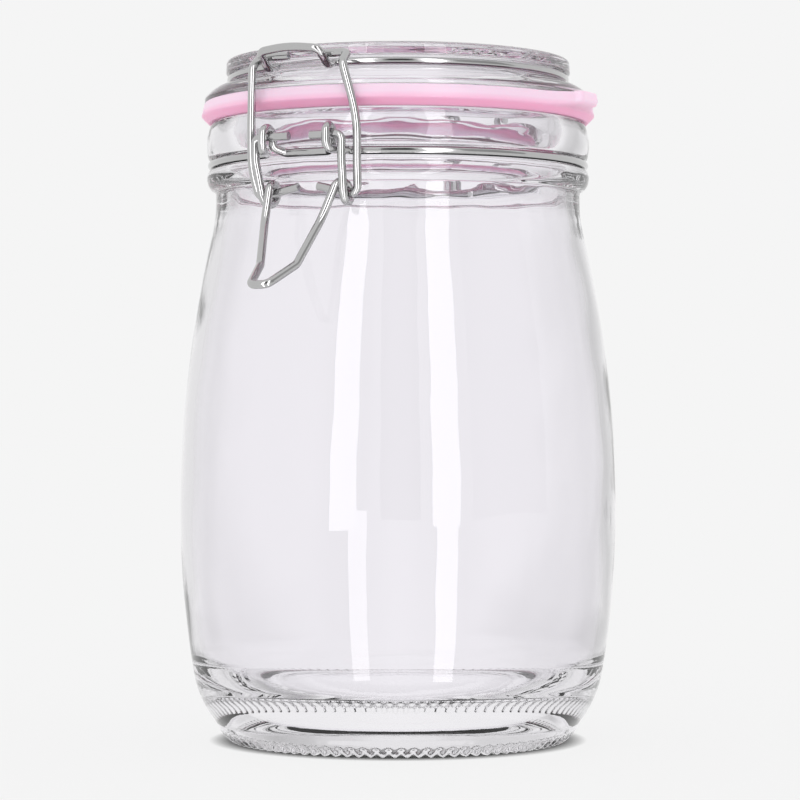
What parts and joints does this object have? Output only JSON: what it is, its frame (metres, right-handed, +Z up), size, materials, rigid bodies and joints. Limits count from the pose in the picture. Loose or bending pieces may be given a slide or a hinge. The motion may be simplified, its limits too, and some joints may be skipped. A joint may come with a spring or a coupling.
{
  "type": "clip-top glass storage jar",
  "caption": "Empty barrel-shaped clear glass storage jar with a hinged glass lid, a soft pink sealing ring with a pull tab, and a bent-wire clip closure.",
  "frame": {"origin": "middle of the foot ring, on the plane the jar stands on", "axes": "+Z up along the jar's axis, -Y towards the clip closure, +Y towards the hinge, +X towards the sealing ring's pull tab"},
  "size_m": [0.1086, 0.1281, 0.169],
  "materials": {
    "glass": "clear, smooth, slightly wavy pressed glass",
    "seal": "satin, slightly translucent soft pink",
    "wire": "bright bent steel wire"
  },
  "bodies": {
    "jar": {"jar_glass": "glass", "neck_wire": "wire"},
    "lid": {"lid_glass": "glass", "gasket": "seal", "lid_wire": "wire"},
    "lever": {"lever": "wire"},
    "link_right": {"link_right": "wire"},
    "link_left": {"link_left": "wire"}
  },
  "joints": [
    {"name": "lid_hinge", "type": "hinge", "parent": "jar", "child": "lid", "pos_m": [0, 0.0528, 0.1466], "axis": [-1, 0, 0], "range_deg": [0, 105]},
    {"name": "lever_pivot", "type": "hinge", "parent": "jar", "child": "lever", "pos_m": [0, -0.0508, 0.1464], "axis": [-1, 0, 0], "range_deg": [0, 95]},
    {"name": "link_right_pivot", "type": "hinge", "parent": "lever", "child": "link_right", "pos_m": [0, -0.0484, 0.133], "axis": [1, 0, 0], "range_deg": [0, 155]},
    {"name": "link_left_pivot", "type": "hinge", "parent": "lever", "child": "link_left", "pos_m": [0, -0.0484, 0.133], "axis": [1, 0, 0], "range_deg": [0, 155]}
  ],
  "couplings": [
    {"joint": "lever_pivot", "follows": "lid_hinge", "ratio": 0.9047},
    {"joint": "link_right_pivot", "follows": "lid_hinge", "ratio": 1.4761},
    {"joint": "link_left_pivot", "follows": "lid_hinge", "ratio": 1.4761}
  ]
}
